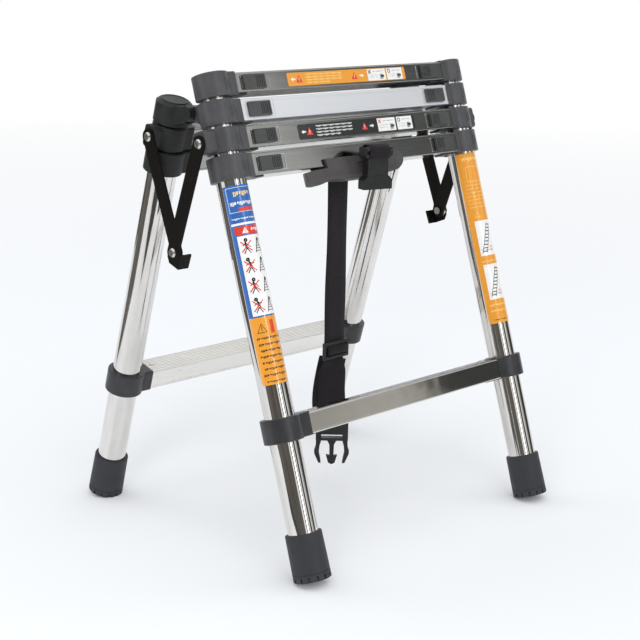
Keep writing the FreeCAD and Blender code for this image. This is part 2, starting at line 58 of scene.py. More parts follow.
STRAP_ROUTE = [
    (-0.0120, -0.0350, 0.4600),
    (-0.0112, -0.0346, 0.3800),
    (-0.0126, -0.0354, 0.3000),
    (-0.0120, -0.0350, 0.2225),
    (-0.0140, -0.0332, 0.1640),
    (-0.0120, -0.0350, 0.1045),
]
STRAP_WIDTH = 0.038
STRAP_THICKNESS = 0.0016

LAYER_HEIGHT = 0.00006                  # one printed layer above the next
FLOOR_NEAR = (0.765, 0.776, 0.794)      # the floor's tone under the ladder

FRONT = Matrix.Translation((0, -FOOT_Y, 0)) @ Matrix.Rotation(-FRONT_LEAN, 4, "X")
BACK = Matrix.Translation((0, FOOT_Y, 0)) @ Matrix.Rotation(-BACK_LEAN, 4, "X")


# Camera -------------------------------------------------------------------
CAMERA_PLACE = (-1.3624, -1.3510, 0.7331)
CAMERA_LENS = 81.54
CAMERA_AZIMUTH = 45.142                 # degrees, as the two below
CAMERA_PITCH = 14.023
CAMERA_ROLL = 1.251


def make_camera():
    """The camera in front and to the left, above the ladder, looking down."""
    azimuth, pitch, roll = (math.radians(a) for a in (CAMERA_AZIMUTH, CAMERA_PITCH, CAMERA_ROLL))
    forward = Vector((math.sin(azimuth) * math.cos(pitch), math.cos(azimuth) * math.cos(pitch),
                      -math.sin(pitch)))
    right = Vector((math.cos(azimuth), -math.sin(azimuth), 0))
    up = right.cross(forward)
    x_axis = right * math.cos(roll) + up * math.sin(roll)
    y_axis = up * math.cos(roll) - right * math.sin(roll)
    turn = Matrix((x_axis, y_axis, -forward)).transposed().to_4x4()
    data = bpy.data.cameras.new("camera")
    data.sensor_width = 36.0
    data.lens = CAMERA_LENS
    camera = bpy.data.objects.new("camera", data)
    camera.matrix_world = Matrix.Translation(CAMERA_PLACE) @ turn
    bpy.context.collection.objects.link(camera)
    bpy.context.scene.camera = camera


make_camera()


# Node helpers -------------------------------------------------------------
class Material:
    """A node material under construction, with short calls for common nodes."""

    def __init__(self, name):
        self.material = bpy.data.materials.new(name)
        self.material.use_nodes = True
        self.tree = self.material.node_tree
        self.shader = self.tree.nodes["Principled BSDF"]
        self.coordinates = self.node("ShaderNodeTexCoord").outputs["Object"]

    def node(self, kind, **values):
        made = self.tree.nodes.new(kind)
        for key, value in values.items():
            if key in made.inputs:
                made.inputs[key].default_value = value
            else:
                setattr(made, key, value)
        return made

    def link(self, source, target):
        self.tree.links.new(source, target)

    def set(self, **values):
        """Sets or links the shader's sockets by short names."""
        names = {"color": "Base Color", "metallic": "Metallic", "roughness": "Roughness",
                 "coat": "Coat Weight", "coat_roughness": "Coat Roughness",
                 "specular": "Specular IOR Level", "sheen": "Sheen Weight",
                 "sheen_roughness": "Sheen Roughness"}
        for key, value in values.items():
            socket = self.shader.inputs[names[key]]
            if hasattr(value, "is_output"):
                self.link(value, socket)
            elif key == "color":
                socket.default_value = (*value, 1)
            else:
                socket.default_value = value

    def stretched(self, scale, turn_x=0.0):
        """Object coordinates turned about X and then scaled per axis."""
        turned = self.node("ShaderNodeMapping")
        turned.inputs["Rotation"].default_value = (turn_x, 0, 0)
        self.link(self.coordinates, turned.inputs["Vector"])
        scaled = self.node("ShaderNodeMapping")
        scaled.inputs["Scale"].default_value = scale
        self.link(turned.outputs["Vector"], scaled.inputs["Vector"])
        return scaled.outputs["Vector"]

    def noise(self, vector, scale, detail, roughness):
        made = self.node("ShaderNodeTexNoise")
        made.inputs["Scale"].default_value = scale
        made.inputs["Detail"].default_value = detail
        made.inputs["Roughness"].default_value = roughness
        self.link(vector, made.inputs["Vector"])
        return made.outputs["Fac"]

    def ramp(self, value, stops):
        """A colour for a value; stops are (place, colour) pairs."""
        made = self.node("ShaderNodeValToRGB")
        elements = made.color_ramp.elements
        while len(elements) < len(stops):
            elements.new(0.5)
        for element, (place, color) in zip(elements, stops):
            element.position = place
            element.color = (*color, 1)
        self.link(value, made.inputs["Fac"])
        return made.outputs["Color"]

    def spread(self, value, low, high, start=0.0, end=1.0):
        """Maps start..end of a value onto low..high."""
        made = self.node("ShaderNodeMapRange")
        for name, number in zip(("From Min", "From Max", "To Min", "To Max"), (start, end, low, high)):
            made.inputs[name].default_value = number
        self.link(value, made.inputs["Value"])
        return made.outputs["Result"]

    def math(self, operation, first, second=None):
        """One step of arithmetic on numbers or sockets."""
        made = self.node("ShaderNodeMath", operation=operation)
        for socket, value in zip(made.inputs, (first, second)):
            if hasattr(value, "is_output"):
                self.link(value, socket)
            elif value is not None:
                socket.default_value = value
        return made.outputs["Value"]

    def mix(self, factor, first, second):
        """Two colours mixed by a factor; each may be a number or a socket."""
        made = self.node("ShaderNodeMix", data_type="RGBA")
        for name, value in (("Factor", factor), ("A", first), ("B", second)):
            socket = [s for s in made.inputs if s.name == name and s.enabled][0]
            if hasattr(value, "is_output"):
                self.link(value, socket)
            elif name == "Factor":
                socket.default_value = value
            else:
                socket.default_value = (*value, 1)
        return [s for s in made.outputs if s.enabled][0]

    def bump(self, height, distance, strength, below=None):
        """Relief for the shader, on top of the relief below when given."""
        made = self.node("ShaderNodeBump")
        made.inputs["Distance"].default_value = distance
        made.inputs["Strength"].default_value = strength
        self.link(height, made.inputs["Height"])
        if below is not None:
            self.link(below, made.inputs["Normal"])
        self.link(made.outputs["Normal"], self.shader.inputs["Normal"])
        return made.outputs["Normal"]


# Materials ----------------------------------------------------------------
def polished_tube(name, lean, dull):
    """Stainless tube with faint drawing lines along the leg, slight wear, and painted reflection streaks
    along the leg in its colour.
    """
    m = Material(name)
    along = m.stretched((1.0, 1.0, 0.012), lean)
    lines = m.noise(along, 420.0, 4.0, 0.6)
    smudges = m.noise(m.stretched((1, 1, 0.35), lean), 38.0, 3.0, 0.55)
    # Painted reflection: light and dark bands along the leg in the colour stand in for reflections; the
    # smudges are wear.
    painted_reflection_streaks = m.noise(m.stretched((1.0, 1.0, 0.02), lean), 75.0, 3.0, 0.55)
    wear_and_painted_reflection = m.math("ADD", m.math("MULTIPLY", smudges, 0.45), m.math("MULTIPLY", painted_reflection_streaks, 0.55))
    # The colour goes paler and darker with the wear smudges and the painted reflection streaks.
    tone = m.mix(m.spread(wear_and_painted_reflection, 0.0, 1.0, 0.38, 0.62), (0.63, 0.605, 0.575), (0.82, 0.80, 0.78))
    m.set(color=tone, metallic=1.0)
    m.set(roughness=m.math("ADD", m.spread(lines, dull, dull + 0.05, 0.3, 0.7),
                           m.spread(smudges, 0.0, 0.05, 0.45, 0.75)))
    m.bump(lines, 0.00002, 0.5)
    return m.material


def brushed_rung(name, light, dark, low_rough, high_rough, metallic=1.0, grain_height=0.000012,
                 grain_scale=900.0, wave_height=0.0):
    """Extruded rung brushed along its length; waves make its reflections swim."""
    m = Material(name)
    grain = m.noise(m.stretched((0.012, 1.0, 1.0)), grain_scale, 4.0, 0.65)
    bands = m.noise(m.stretched((0.05, 1.0, 1.0)), 45.0, 3.0, 0.5)
    handling = m.noise(m.stretched((0.5, 1.0, 1.0)), 26.0, 4.0, 0.6)
    tone = m.mix(m.spread(bands, 0.0, 1.0, 0.3, 0.7), light, dark)
    m.set(color=tone, metallic=metallic)
    m.set(roughness=m.math("ADD", m.spread(grain, low_rough, high_rough, 0.3, 0.7),
                           m.spread(handling, 0.0, 0.08, 0.5, 0.8)))
    below = m.bump(grain, grain_height, 0.5)
    if wave_height:
        m.bump(m.noise(m.coordinates, 14.0, 2.0, 0.5), wave_height, 1.0, below)
    return m.material


def moulded_plastic(name, color, rough, grain_height, flute_height=0.0, wear=0.02, specular=0.4):
    """Moulded nylon: fine grain, faint upright draw marks, paler worn spots."""
    m = Material(name)
    grain = m.noise(m.coordinates, 2600.0, 2.0, 0.6)
    blotch = m.noise(m.coordinates, 45.0, 4.0, 0.6)
    pale = tuple(c + wear for c in color)
    m.set(color=m.mix(m.spread(blotch, 0.0, 1.0, 0.35, 0.75), color, pale), specular=specular)
    m.set(roughness=m.spread(blotch, rough - 0.05, rough + 0.08, 0.3, 0.7))
    below = m.bump(grain, grain_height, 0.6)
    if flute_height:
        flutes = m.noise(m.stretched((1.0, 1.0, 0.03)), 260.0, 2.0, 0.5)
        m.bump(flutes, flute_height, 0.7, below)
    return m.material


def rubber(name):
    """Foot rubber: fine grain, pale dust caught near the floor."""
    m = Material(name)
    grain = m.noise(m.coordinates, 1800.0, 3.0, 0.6)
    dust = m.noise(m.coordinates, 90.0, 5.0, 0.65)
    height = m.node("ShaderNodeSeparateXYZ")
    m.link(m.coordinates, height.inputs["Vector"])
    near_floor = m.spread(height.outputs["Z"], 1.0, 0.0, 0.002, 0.022)
    dusty = m.math("MULTIPLY", m.spread(dust, 0.0, 0.5, 0.4, 0.8), near_floor)
    m.set(color=m.mix(dusty, (0.030, 0.031, 0.035), (0.10, 0.098, 0.095)), specular=0.35)
    m.set(roughness=m.spread(dust, 0.5, 0.66, 0.3, 0.7))
    m.bump(grain, 0.00006, 0.6)
    return m.material


def black_paint(name):
    """Satin black coat on flat steel, with orange-peel and rubbed spots."""
    m = Material(name)
    peel = m.noise(m.coordinates, 1400.0, 2.0, 0.5)
    rub = m.noise(m.coordinates, 120.0, 5.0, 0.7)
    m.set(color=m.mix(m.spread(rub, 0.0, 1.0, 0.62, 0.85), (0.006, 0.005, 0.004), (0.022, 0.020, 0.018)))
    m.set(roughness=m.spread(rub, 0.42, 0.55, 0.3, 0.8), specular=0.15)
    m.bump(peel, 0.00003, 0.5)
    return m.material


def bright_rivet(name):
    """Bright steel rivet head with fine uneven polish."""
    m = Material(name)
    turned = m.noise(m.coordinates, 700.0, 3.0, 0.6)
    m.set(color=m.mix(turned, (0.62, 0.61, 0.59), (0.80, 0.79, 0.78)), metallic=1.0)
    m.set(roughness=m.spread(turned, 0.16, 0.34, 0.3, 0.7))
    m.bump(turned, 0.00006, 0.6)
    return m.material


def webbing(name):
    """Black woven webbing: cross ribs crossed by fine lengthwise yarns, with painted shade darker between
    them and paler on their crests.
    """
    rib_pitch, yarn_pitch = 0.0022, 0.0016
    m = Material(name)
    split = m.node("ShaderNodeSeparateXYZ")
    uv = m.node("ShaderNodeTexCoord").outputs["UV"]
    m.link(uv, split.inputs["Vector"])
    ribs = m.math("ABSOLUTE", m.math("SINE", m.math("MULTIPLY", split.outputs["Y"], math.pi / rib_pitch)))
    yarns = m.math("ABSOLUTE", m.math("SINE", m.math("MULTIPLY", split.outputs["X"], math.pi / yarn_pitch)))
    weave = m.math("MULTIPLY", m.math("POWER", ribs, 0.6), m.math("ADD", m.math("MULTIPLY", yarns, 0.4), 0.6))
    fuzz = m.noise(m.coordinates, 1500.0, 3.0, 0.6)
    # Painted shade: the colour follows the weave's height, darker in its grooves and paler on its crests.
    shade = m.math("MULTIPLY", weave, m.spread(fuzz, 0.7, 1.2))
    m.set(color=m.mix(shade, (0.003, 0.0025, 0.003), (0.021, 0.017, 0.020)), specular=0.15)
    m.set(roughness=m.spread(weave, 0.85, 0.62), sheen=0.06, sheen_roughness=0.5)
    m.bump(weave, 0.00035, 0.9)
    return m.material


def printed(name, color):
    """Printed film: flat ink under a thin glossy laminate."""
    m = Material(name)
    ink = m.noise(m.coordinates, 500.0, 2.0, 0.5)
    darker = tuple(c * 0.9 for c in color)
    m.set(color=m.mix(m.spread(ink, 0.0, 1.0, 0.3, 0.7), color, darker))
    m.set(roughness=m.spread(ink, 0.26, 0.36, 0.3, 0.7), coat=0.6, coat_roughness=0.1)
    m.bump(ink, 0.00001, 0.3)
    return m.material


MATERIALS = {
    "front_tube": polished_tube("polished_front_tube", FRONT_LEAN, 0.03),
    "back_tube": polished_tube("polished_back_tube", BACK_LEAN, 0.07),
    "rung": brushed_rung("brushed_rung", (0.40, 0.395, 0.37), (0.345, 0.345, 0.33), 0.10, 0.18),
    "low_rung": brushed_rung("polished_rung", (0.74, 0.725, 0.69), (0.68, 0.67, 0.635), 0.05, 0.10,
                             wave_height=0.0006),
    "pale_rung": brushed_rung("pale_rung", (0.90, 0.885, 0.85), (0.84, 0.825, 0.79), 0.26, 0.34, 0.6,
                              grain_height=0.000002, grain_scale=220.0),
    "satin_rung": brushed_rung("satin_rung", (0.80, 0.805, 0.83), (0.75, 0.76, 0.78), 0.28, 0.38, 0.5),
    "lip": brushed_rung("bright_lip", (0.84, 0.84, 0.82), (0.80, 0.80, 0.78), 0.14, 0.22),
    "collar": moulded_plastic("collar_nylon", (0.052, 0.052, 0.056), 0.34, 0.00003, 0.00012, 0.02, 0.5),
    "low_collar": moulded_plastic("low_collar_nylon", (0.022, 0.022, 0.025), 0.36, 0.00003, 0.0, 0.015, 0.45),
    "cap": moulded_plastic("cap_nylon", (0.017, 0.0175, 0.018), 0.46, 0.00005, 0.0, 0.008, 0.3),
    "latch": moulded_plastic("latch_plastic", (0.050, 0.051, 0.050), 0.30, 0.00003),
    "handle": moulded_plastic("handle_plastic", (0.060, 0.054, 0.053), 0.50, 0.00005, 0.0, 0.02, 0.3),
    "buckle": moulded_plastic("buckle_plastic", (0.009, 0.0095, 0.0095), 0.30, 0.00002, 0.0, 0.006, 0.4),
    "rubber": rubber("foot_rubber"),
    "arm": black_paint("black_paint"),
    "rivet": bright_rivet("bright_rivet"),
    "webbing": webbing("black_webbing"),
    "orange": printed("print_orange", (0.80, 0.32, 0.021)),
    "blue": printed("print_blue", (0.018, 0.125, 0.42)),
    "white": printed("print_white", (0.84, 0.84, 0.82)),
    "grey": printed("print_grey", (0.30, 0.30, 0.30)),
    "red": printed("print_red", (0.72, 0.035, 0.012)),
    "black": printed("print_black", (0.014, 0.016, 0.016)),
    "cream": printed("print_cream", (0.93, 0.62, 0.20)),
}


def material_for(node):
    """The key in MATERIALS for a CAD node, from the words in its name."""
    if node.endswith("_tubes"):
        return "front_tube" if node[0] == "f" else "back_tube"
    rungs = {"f2_rung": "satin_rung", "front_low_rung": "low_rung", "back_low_rung": "pale_rung"}
    if node.endswith("_rung"):
        return rungs.get(node, "rung")
    if node == "k1_caps" or node.startswith("k2_collar") or node == "k3_collars":
        return "cap"
    if node.endswith("_low_collars"):
        return "low_collar"
    for word, name in (("collar", "collar"), ("latch", "latch"), ("foot", "rubber"), ("arm", "arm"),
                       ("rivet", "rivet"), ("pins", "rivet"), ("handle", "handle"), ("buckle", "buckle"),
                       ("adjuster", "buckle"), ("strap", "webbing")):
        if word in node:
            return name
    raise SystemExit("no material for " + node)


def dress_cad_nodes():
    """Every CAD node gets its material."""
    for node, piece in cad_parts.items():
        material = MATERIALS[material_for(node)]
        for slot in piece.material_slots:
            slot.material = material
        if not piece.material_slots:
            piece.data.materials.append(material)


dress_cad_nodes()


EDGE_WIDTHS = {"latch": 0.0006, "buckle": 0.0008, "collar": 0.0005, "low_collar": 0.0005, "cap": 0.0007,
               "handle": 0.0008, "arm": 0.0004}


def round_cad_edges():
    """A small bevel on the moulded and stamped pieces, so edges catch light."""
    for node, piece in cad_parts.items():
        kind = material_for(node)
        if kind not in EDGE_WIDTHS:
            continue
        bevel = piece.modifiers.new("edge_bevel", "BEVEL")
        bevel.width = EDGE_WIDTHS[kind]
        bevel.segments = 2
        bevel.limit_method = "ANGLE"
        bevel.angle_limit = math.radians(40)


# Mesh helpers -------------------------------------------------------------
def make_piece(name, vertices, faces, materials, body, indices=None, smooth=True):
    """A mesh piece that rides on a body; indices give each face's material."""
    mesh = bpy.data.meshes.new(name)
    mesh.from_pydata([tuple(v) for v in vertices], [], faces)
    piece = bpy.data.objects.new(name, mesh)
    bpy.context.collection.objects.link(piece)
    for material in materials:
        mesh.materials.append(MATERIALS[material])
    if indices is not None:
        for polygon, index in zip(mesh.polygons, indices):
            polygon.material_index = index
    if smooth:
        mesh.shade_smooth()
    mesh.update()
    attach(piece, body)
    return piece


def ring_faces(rings, count):
    """Quads between stacked rings of count points each."""
    faces = []
    for row in range(rings - 1):
        for k in range(count):
            n = (k + 1) % count
            faces.append((row * count + k, row * count + n, (row + 1) * count + n, (row + 1) * count + k))
    return faces


def first_ring(count):
    """The end face on the first ring."""
    return tuple(range(count))[::-1]


def last_ring(rings, count):
    """The end face on the last ring."""
    return tuple(range((rings - 1) * count, rings * count))


def circle(radius, count):
    """Points round a circle, as (x, y) pairs."""
    angles = [2 * math.pi * k / count for k in range(count)]
    return [(radius * math.cos(a), radius * math.sin(a)) for a in angles]


def rounded_loop(u0, v0, u1, v1, radius):
    """The outline of a rectangle with round corners."""
    points = []
    for u, v, start in ((u1 - radius, v1 - radius, 0), (u0 + radius, v1 - radius, 90),
                        (u0 + radius, v0 + radius, 180), (u1 - radius, v0 + radius, 270)):
        for k in range(5):
            angle = math.radians(start + 22.5 * k)
            points.append((u + radius * math.cos(angle), v + radius * math.sin(angle)))
    return points


class Print:
    """Flat artwork of plain shapes, laid on a surface layer by layer."""

    def __init__(self, surface, step):
        self.surface = surface          # (u, v, height) to a point
        self.step = step                # longest run in u before a fold line
        self.vertices, self.faces, self.indices, self.inks = [], [], [], []

    def shape(self, points, ink, layer):
        """One flat polygon, cut into strips so that it follows the surface."""
        if ink not in self.inks:
            self.inks.append(ink)
        work = bmesh.new()
        work.faces.new([work.verts.new((u, v, 0)) for u, v in points])
        start = min(u for u, v in points)
        end = max(u for u, v in points)
        for k in range(1, int((end - start) / self.step) + 1):
            geometry = work.verts[:] + work.edges[:] + work.faces[:]
            bmesh.ops.bisect_plane(work, geom=geometry, plane_co=(start + k * self.step, 0, 0),
                                   plane_no=(1, 0, 0))
        work.verts.index_update()
        base = len(self.vertices)
        height = LAYER_HEIGHT * (layer + 1)
        self.vertices += [self.surface(v.co.x, v.co.y, height) for v in work.verts]
        for face in work.faces:
            self.faces.append([base + v.index for v in face.verts])
            self.indices.append(self.inks.index(ink))
        work.free()

    def box(self, u0, v0, u1, v1, ink, layer, radius=0.0):
        """A rectangle from corner to corner, with round corners if asked."""
        if radius <= 0:
            self.shape([(u0, v0), (u1, v0), (u1, v1), (u0, v1)], ink, layer)
            return
        self.shape(rounded_loop(u0, v0, u1, v1, radius), ink, layer)

    def frame(self, u0, v0, u1, v1, width, ink, layer):
        """A rectangle's border, drawn inside its corners."""
        self.box(u0, v0, u1, v0 + width, ink, layer)
        self.box(u0, v1 - width, u1, v1, ink, layer)
        self.box(u0, v0 + width, u0 + width, v1 - width, ink, layer)
        self.box(u1 - width, v0 + width, u1, v1 - width, ink, layer)

    def line(self, start, end, width, ink, layer):
        """A straight stroke with square ends."""
        start, end = Vector(start), Vector(end)
        across = (end - start).orthogonal().normalized() * width / 2
        points = [start - across, end - across, end + across, start + across]
        self.shape([(p.x, p.y) for p in points], ink, layer)

    def triangle(self, u, v, size, ink, layer):
        """An upright triangle about a centre."""
        low = v - size * 0.4
        self.shape([(u - size / 2, low), (u + size / 2, low), (u, low + size * 0.88)], ink, layer)

    def warning(self, u, v, size, ink, inner, layer):
        """A plain triangle with a bar and a dot inside."""
        self.triangle(u, v, size, ink, layer)
        self.box(u - size * 0.04, v - size * 0.12, u + size * 0.04, v + size * 0.18, inner, layer + 1)
        self.box(u - size * 0.04, v - size * 0.26, u + size * 0.04, v - size * 0.18, inner, layer + 1)

    def ring(self, u, v, outer, inner, ink, layer):
        """A circle with a round hole."""
        count = 16
        near, far = circle(inner, count), circle(outer, count)
        for k in range(count):
            n = (k + 1) % count
            self.shape([(u + x, v + y) for x, y in (near[k], far[k], far[n], near[n])], ink, layer)

    def cross(self, u, v, size, width, ink, layer):
        """Two strokes corner to corner."""
        h = size / 2
        self.line((u - h, v - h), (u + h, v + h), width, ink, layer)
        self.line((u - h, v + h), (u + h, v - h), width, ink, layer)

    def arrow(self, u, v, length, sign, ink, layer):
        """A left or right arrow: shaft and head."""
        half = length / 2
        tail = u - sign * half
        self.box(min(tail, u), v - length * 0.12, max(tail, u), v + length * 0.12, ink, layer)
        head = [(u, v - length * 0.32), (u + sign * half, v), (u, v + length * 0.32)]
        self.shape(head[::sign], ink, layer)

    def make(self, name, body):
        """The artwork so far as one piece."""
        make_piece(name, self.vertices, self.faces, self.inks, body, self.indices, smooth=False)


def tube_surface(frame_matrix, x, radius):
    """Unrolled tube: u is the arc length from straight ahead, v runs up the leg."""
    def place(u, v, height):
        angle = u / radius
        reach = radius + height
        return frame_matrix @ Vector((x + reach * math.sin(angle), -reach * math.cos(angle), v))
    return place


def rung_surface(frame_matrix, t, face, depth):
    """Front or back face of a rung: u runs along X, v up the leg."""
    def place(u, v, height):
        return frame_matrix @ Vector((u, face * (depth + height), t + v))
    return place


# Strap --------------------------------------------------------------------
def spline_points(points):
    """Points along the smooth NURBS line of a route."""
    data = bpy.data.curves.new("route", "CURVE")
    data.dimensions = "3D"
    data.resolution_u = 16
    spline = data.splines.new("NURBS")
    spline.points.add(len(points) - 1)
    for knot, point in zip(spline.points, points):
        knot.co = (*point, 1)
    spline.order_u = 3
    spline.use_endpoint_u = True
    holder = bpy.data.objects.new("route", data)
    bpy.context.collection.objects.link(holder)
    bpy.context.view_layer.update()
    mesh = bpy.data.meshes.new_from_object(holder)
    line = [v.co.copy() for v in mesh.vertices]
    bpy.data.objects.remove(holder)
    return line


def ribbon(name, line, width, thickness, side_at, body):
    """Flat webbing along a line; side_at(share) gives its width direction there."""
    half, thin = width / 2, thickness / 2
    section = [(-half, 0.0), (-half + thin, -thin), (-half * 0.5, -thin), (0, -thin), (half * 0.5, -thin),
               (half - thin, -thin), (half, 0.0), (half - thin, thin), (half * 0.5, thin), (0, thin),
               (-half * 0.5, thin), (-half + thin, thin)]
    count = len(section)
    vertices, uvs = [], []
    travelled = 0.0
    for k, centre in enumerate(line):
        before, after = line[max(k - 1, 0)], line[min(k + 1, len(line) - 1)]
        along = (after - before).normalized()
        side = side_at(k / (len(line) - 1))
        side = (side - along * side.dot(along)).normalized()
        normal = along.cross(side)
        if k:
            travelled += (centre - line[k - 1]).length
        for across, out in section:
            vertices.append(centre + side * across + normal * out)
            uvs.append((across, travelled))
    faces = ring_faces(len(line), count) + [first_ring(count), last_ring(len(line), count)]
    piece = make_piece(name, vertices, faces, ["webbing"], body)
    layer = piece.data.uv_layers.new(name="UVMap")
    for loop in piece.data.loops:
        layer.data[loop.index].uv = uvs[loop.vertex_index]
    return piece


def turn_side(degrees):
    """The strap's width direction, turned about the upright."""
    angle = math.radians(degrees)
    return Vector((math.cos(angle), math.sin(angle), 0))


def smooth_step(value):
    """0 below 0, 1 above 1, and a smooth slope between."""
    value = min(max(value, 0.0), 1.0)
    return value * value * (3 - 2 * value)


def make_strap():
    """The hanging webbing, its doubled end, and its pass over the front of the slide."""
    line = spline_points(STRAP_ROUTE)
    top, bottom = line[0].z, line[-1].z

    def side_at(share):
        """Nearly square on above the slide; turned below it, and again near the end."""
        z = top + (bottom - top) * share
        wobble = 2.5 * math.sin((top - z) * 34.0)
        turn = -27.0 * smooth_step((0.216 - z) / 0.030) - 18.0 * smooth_step((0.160 - z) / 0.040)
        return turn_side(turn + wobble * smooth_step((z - 0.23) / 0.05))

    strap = ribbon("hanging_webbing", line, STRAP_WIDTH, STRAP_THICKNESS, side_at, "hanging_strap")
    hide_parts("strap")
    back = spline_points([(-0.0128, -0.0338, 0.211), (-0.0150, -0.0300, 0.190), (-0.0185, -0.0275, 0.155),
                          (-0.0165, -0.0285, 0.130), (-0.0128, -0.0335, 0.108)])
    doubled = ribbon("returning_webbing", back, STRAP_WIDTH, STRAP_THICKNESS,
                     lambda share: turn_side(-30.0 - 15.0 * share), "hanging_strap")
    wrap_route = ((-0.0366, 0.2310), (-0.0380, 0.2278), (-0.0416, 0.2270), (-0.0424, 0.2225),
                  (-0.0416, 0.2180), (-0.0380, 0.2172), (-0.0366, 0.2140))
    wrap_line = spline_points([(-0.012, y, z) for y, z in wrap_route])
    wrap = ribbon("slide_webbing", wrap_line, 0.036, STRAP_THICKNESS, lambda share: Vector((1, 0, 0)),
                  "hanging_strap")
    tuple(line[0])
    [tuple(p) for p in line]


make_strap()
round_cad_edges()


def make_socket_webbing():
    """Webbing that ties the buckle's socket to the grip, looped over its bar."""
    place = Matrix.Translation((-0.002, -0.092, 0.4735)) @ Matrix.Rotation(math.radians(-15), 4, "Z")
    route = [(0, 0.0215, 0.006), (0, 0.0180, 0.019), (0, 0.0085, 0.0285), (0, -0.0020, 0.0305),
             (0, -0.0095, 0.0270), (0, -0.0108, 0.0200), (0, -0.0100, 0.0150), (0, -0.0088, 0.0132)]
    line = spline_points([tuple(place @ Vector(p)) for p in route])
    side = place.to_3x3() @ Vector((1, 0, 0))
    ribbon("socket_webbing", line, 0.031, 0.0018, lambda share: side, "front_base")
    for k, (y, z, radius) in enumerate(((-0.0062, 0.0245, 0.0036), (-0.0066, 0.0165, 0.0030))):
        start = place @ Vector((-0.0205, y, z))
        end = place @ Vector((0.0205, y, z))
        make_bar("socket_bar_%d" % k, start, end, radius, "buckle", "front_base")


def make_bar(name, start, end, radius, material, body):
    """A round bar with domed ends."""
    axis = (end - start).normalized()
    side = axis.orthogonal().normalized()
    other = axis.cross(side)
    rings = [(0.0, 0.25), (0.15, 0.7), (0.5, 0.95), (1.0, 1.0)]
    length = (end - start).length
    profile = [(radius * a, radius * r) for a, r in rings]
    profile += [(length - radius * a, radius * r) for a, r in rings[::-1]]
    count = 20
    vertices = [start + axis * along + side * x + other * y
                for along, r in profile for x, y in circle(r, count)]
    faces = ring_faces(len(profile), count) + [first_ring(count), last_ring(len(profile), count)]
    make_piece(name, vertices, faces, [material], body)


make_socket_webbing()


# Labels -------------------------------------------------------------------
def rows(art, u0, u1, v0, v1, count, ink, layer, thick, seed):
    """Plain ticks and dashes in rows that stand in for print."""
    for row in range(count):
        v = v1 + (v0 - v1) * (row + 0.5) / count
        end = u1 - (0.0 if row < count - 1 else 0.35 * (u1 - u0) * (count > 2))
        u, k = u0, 0
        while u < end - 0.0012:
            pick = (seed * 7 + row * 5 + k * 3) % 5
            length = min((0.0011, 0.0018, 0.0014, 0.0023, 0.0008)[pick], end - u)
            drop = (0.0, 0.45, 0.0, 0.3, 0.15)[pick] * thick
            art.box(u, v - thick / 2 + drop, u + length, v + thick / 2, ink, layer)
            u += length + (0.0006 if pick != 3 else 0.0013)
            k += 1


def make_left_leg_label():
    """Blue head, four struck-out climbers beside small ladders, orange foot."""
    art = Print(tube_surface(FRONT, -HALF_WIDTH, TUBE_RADIUS), 0.0016)
    left, right = -0.0265, 0.0250
    art.box(left, 0.3288, right, 0.4885, "blue", 0)
    art.frame(left + 0.0035, 0.4560, 0.0150, 0.4860, 0.0005, "white", 1)
    rows(art, left + 0.0120, 0.0080, 0.4725, 0.4830, 1, "cream", 1, 0.0058, 1)
    rows(art, left + 0.0060, 0.0120, 0.4620, 0.4705, 1, "white", 1, 0.0046, 2)
    art.box(left + 0.0150, 0.4570, 0.0105, 0.4612, "red", 1)
    rows(art, left + 0.0040, 0.0200, 0.4462, 0.4500, 1, "white", 1, 0.0020, 3)
    art.box(left + 0.0020, 0.4405, right, 0.4432, "white", 1)
    art.box(left + 0.0045, 0.4290, right, 0.4388, "red", 1, 0.0020)
    art.warning(-0.0090, 0.4337, 0.0080, "white", "red", 2)
    rows(art, -0.0010, 0.0170, 0.4315, 0.4360, 1, "white", 2, 0.0042, 4)
    art.box(-0.0205, 0.3305, right, 0.4275, "white", 1)
    for k, v in enumerate((0.4150, 0.3915, 0.3670, 0.3430)):
        turn = 1 if k % 2 else -1
        art.ring(-0.0118 - 0.0010 * turn, v + 0.0072, 0.0024, 0.0004, "black", 2)
        art.line((-0.0118, v + 0.0050), (-0.0104 + 0.0012 * turn, v - 0.0025), 0.0020, "black", 2)
        art.line((-0.0112, v + 0.0035), (-0.0160, v + 0.0005), 0.0010, "black", 2)
        art.line((-0.0112, v + 0.0035), (-0.0060, v + 0.0022 * turn), 0.0010, "black", 2)
        art.line((-0.0108, v - 0.0025), (-0.0150, v - 0.0090), 0.0012, "black", 2)
        art.line((-0.0106, v - 0.0025), (-0.0070, v - 0.0092), 0.0012, "black", 2)
        art.cross(-0.0110, v - 0.0005, 0.0130, 0.0014, "red", 3)
        art.line((0.0000, v - 0.0095), (0.0052, v + 0.0085), 0.0011, "black", 2)
        art.line((0.0104, v - 0.0095), (0.0052, v + 0.0085), 0.0011, "black", 2)
        for step in range(5):
            low = v - 0.0080 + step * 0.0032
            art.box(0.0008 + step * 0.0009, low, 0.0096 - step * 0.0009, low + 0.0008, "black", 2)
        art.ring(0.0060, v + 0.0060, 0.0020, 0.0004, "black", 3)
        art.line((0.0062, v + 0.0045), (0.0075, v - 0.0030), 0.0018, "grey", 3)
    art.box(left, 0.2470, right, 0.3286, "orange", 0, 0.0030)
    art.triangle(-0.0130, 0.3150, 0.0130, "black", 1)
    art.triangle(-0.0130, 0.3148, 0.0106, "orange", 2)
    art.box(-0.0134, 0.3125, -0.0126, 0.3175, "black", 3)
    art.box(-0.0020, 0.3080, 0.0035, 0.3240, "red", 1)
    for k in range(7):
        v = 0.3030 - k * 0.0074
        rows(art, left + 0.0050 + 0.0012 * (k % 3), 0.0120, v - 0.0014, v + 0.0014, 1, "black", 1, 0.0028, k)
    rows(art, left + 0.0070, 0.0080, 0.2490, 0.2525, 1, "black", 1, 0.0022, 9)
    art.make("left_leg_label", "front_base")


